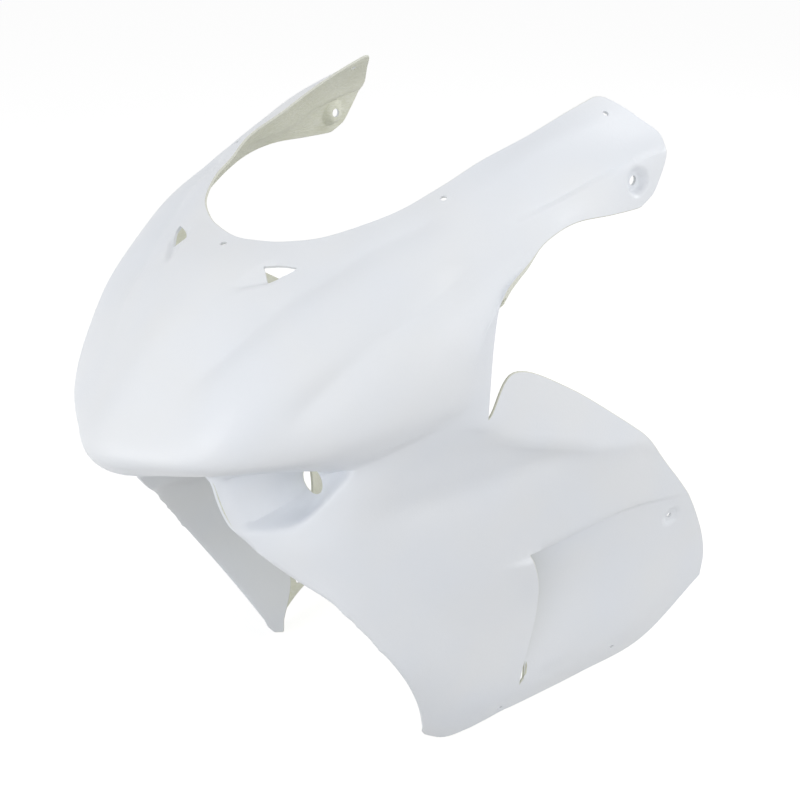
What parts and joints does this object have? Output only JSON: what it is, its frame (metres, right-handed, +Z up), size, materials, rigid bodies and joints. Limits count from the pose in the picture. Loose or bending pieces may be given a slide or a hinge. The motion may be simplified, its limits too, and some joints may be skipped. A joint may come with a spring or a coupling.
{
  "type": "motorcycle fairing",
  "caption": "Upper race fairing moulded as one thin shell: rounded nose with a windscreen seat, side wings, air ducts and stepped side panels round the wheel arch",
  "frame": {"origin": "midway between the two stay holes, on their common axis", "axes": "+X to the rider's left, -Y to the nose, +Z up; the stay holes lie along X"},
  "size_m": [0.448, 0.601, 0.626],
  "materials": {
    "gelcoat": "unpainted white gelcoat over glass-fibre laminate"
  },
  "bodies": {
    "root": {"fairing_shell": "gelcoat"}
  },
  "joints": []
}
